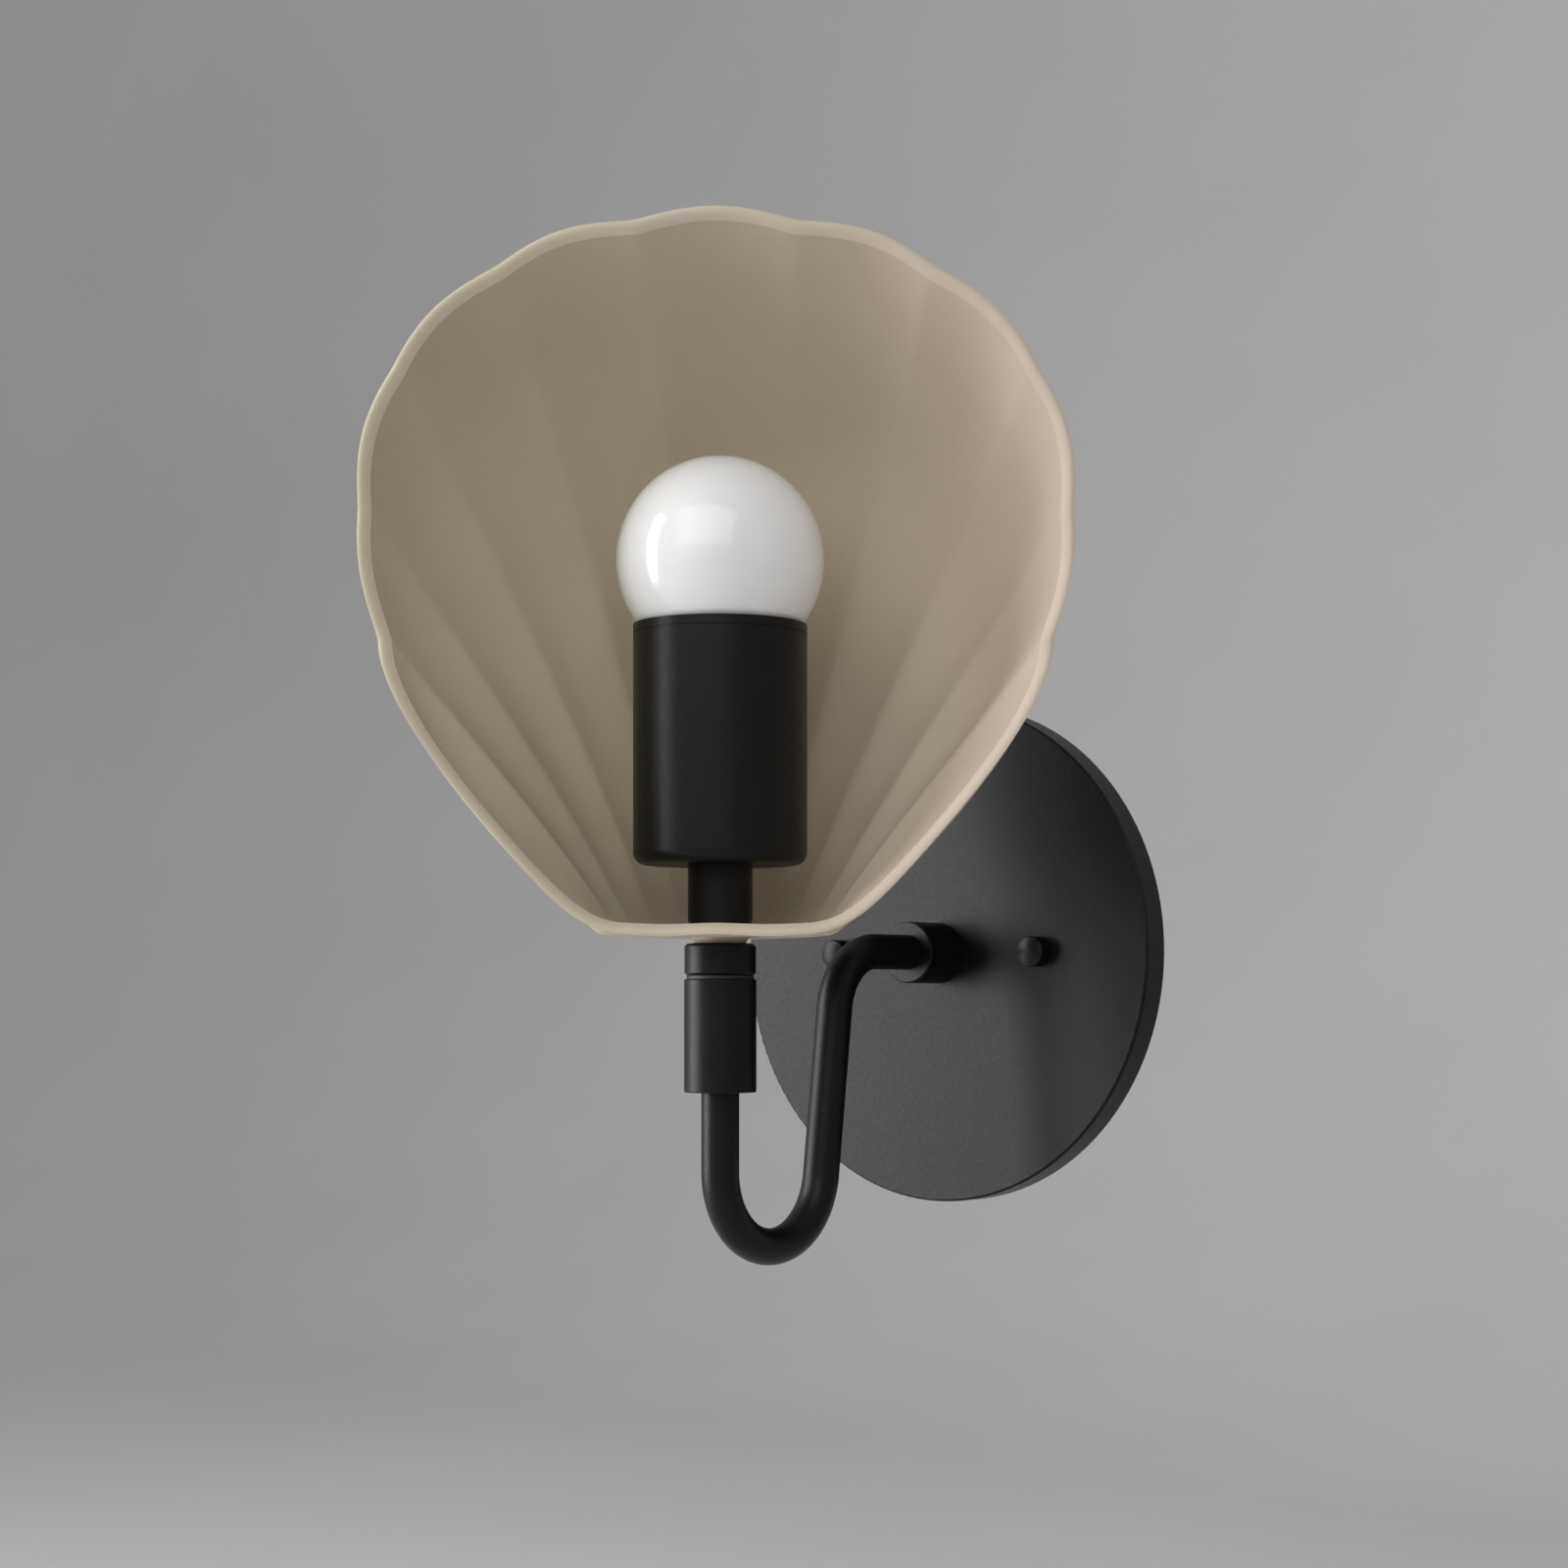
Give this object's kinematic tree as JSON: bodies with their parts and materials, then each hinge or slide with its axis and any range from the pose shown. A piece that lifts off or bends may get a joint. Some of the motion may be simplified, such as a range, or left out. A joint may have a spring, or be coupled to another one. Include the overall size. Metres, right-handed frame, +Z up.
{
  "type": "wall sconce",
  "caption": "Wall sconce with an upright fluted shell shade that turns on a swivel, a round backplate, a hooked tube arm and an opal globe bulb.",
  "frame": {"origin": "centre of the two wall-box screw slots, on the wall face", "axes": "+Y out of the lamp's back into the wall, so the lamp stands out towards -Y; +Z up; +X to the viewer's right when facing the wall"},
  "size_m": [0.1493, 0.1698, 0.2565],
  "materials": {
    "black_powder_coat": "fine matte powder coat",
    "zinc_steel": "zinc plated",
    "green_screw": "gloss",
    "nylon_washer": "matte",
    "cable_jacket": "matte",
    "lead_black": "satin",
    "lead_white": "satin",
    "taupe_ceramic": "opaque fine-grained matte stoneware",
    "porcelain": "opaque glazed",
    "socket_brass": "bright",
    "opal_glass": "glossy opal",
    "cap_nickel": "bright",
    "bulb_black_glass": "opaque gloss",
    "led_white": "matte"
  },
  "bodies": {
    "wall_bracket": {"backplate": "black_powder_coat", "mounting_strap": "zinc_steel", "mounting_studs": "zinc_steel", "cap_nuts": "black_powder_coat", "ground_screw": "green_screw", "hub": "black_powder_coat", "hub_nipple": "zinc_steel", "hub_washer": "zinc_steel", "hub_nut": "zinc_steel", "arm_tube": "black_powder_coat", "arm_cable": "cable_jacket", "swivel_body": "black_powder_coat", "stop_pin": "zinc_steel", "swivel_plug": "black_powder_coat"},
    "shade_head": {"swivel_stem": "zinc_steel", "swivel_washer": "nylon_washer", "swivel_ring": "black_powder_coat", "shell_shade": "taupe_ceramic", "shade_washer": "black_powder_coat", "post": "black_powder_coat", "socket_cup": "black_powder_coat", "socket_bracket": "zinc_steel", "bracket_screws": "zinc_steel", "stem_nut": "zinc_steel", "socket_insulator": "porcelain", "screw_shell": "socket_brass", "centre_contact": "socket_brass", "terminal_screws": "socket_brass", "socket_cable": "cable_jacket", "line_lead": "lead_black", "neutral_lead": "lead_white"},
    "bulb": {"bulb_globe": "opal_glass", "bulb_cap": "cap_nickel", "bulb_insulator": "bulb_black_glass", "bulb_tip": "cap_nickel", "bulb_led_post": "led_white"}
  },
  "joints": [
    {"name": "shade_swivel", "type": "hinge", "parent": "wall_bracket", "child": "shade_head", "pos_m": [0, -0.09715, 0], "axis": [0, 0, 1], "range_deg": [-202, 124]},
    {"name": "bulb_lift", "type": "slide", "parent": "shade_head", "child": "bulb", "axis": [0, 0, 1], "range_m": [0, 0.03]}
  ]
}
